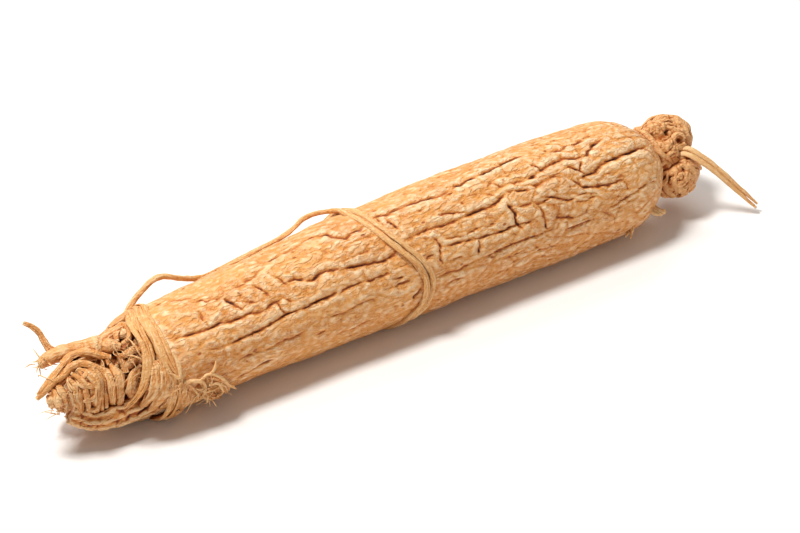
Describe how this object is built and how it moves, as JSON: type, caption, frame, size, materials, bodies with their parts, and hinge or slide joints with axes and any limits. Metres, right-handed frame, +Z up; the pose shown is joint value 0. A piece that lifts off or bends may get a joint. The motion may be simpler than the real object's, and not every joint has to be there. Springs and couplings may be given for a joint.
{
  "type": "dried ginseng root",
  "caption": "Long dried ginseng root with a furrowed body, a blunt shoulder with a knobbly crown, a bundled frayed tail and thin rootlets wound round it.",
  "frame": {"origin": "centre of the narrow flat spot under the body that the root rests on", "axes": "+X along the root from the tail to the crown, +Z up, -Y towards the side that the picture shows"},
  "size_m": [0.1618, 0.0284, 0.024],
  "materials": {
    "skin": "dry, matt, wrinkled root skin"
  },
  "bodies": {
    "root": {"root": "skin"}
  },
  "joints": []
}
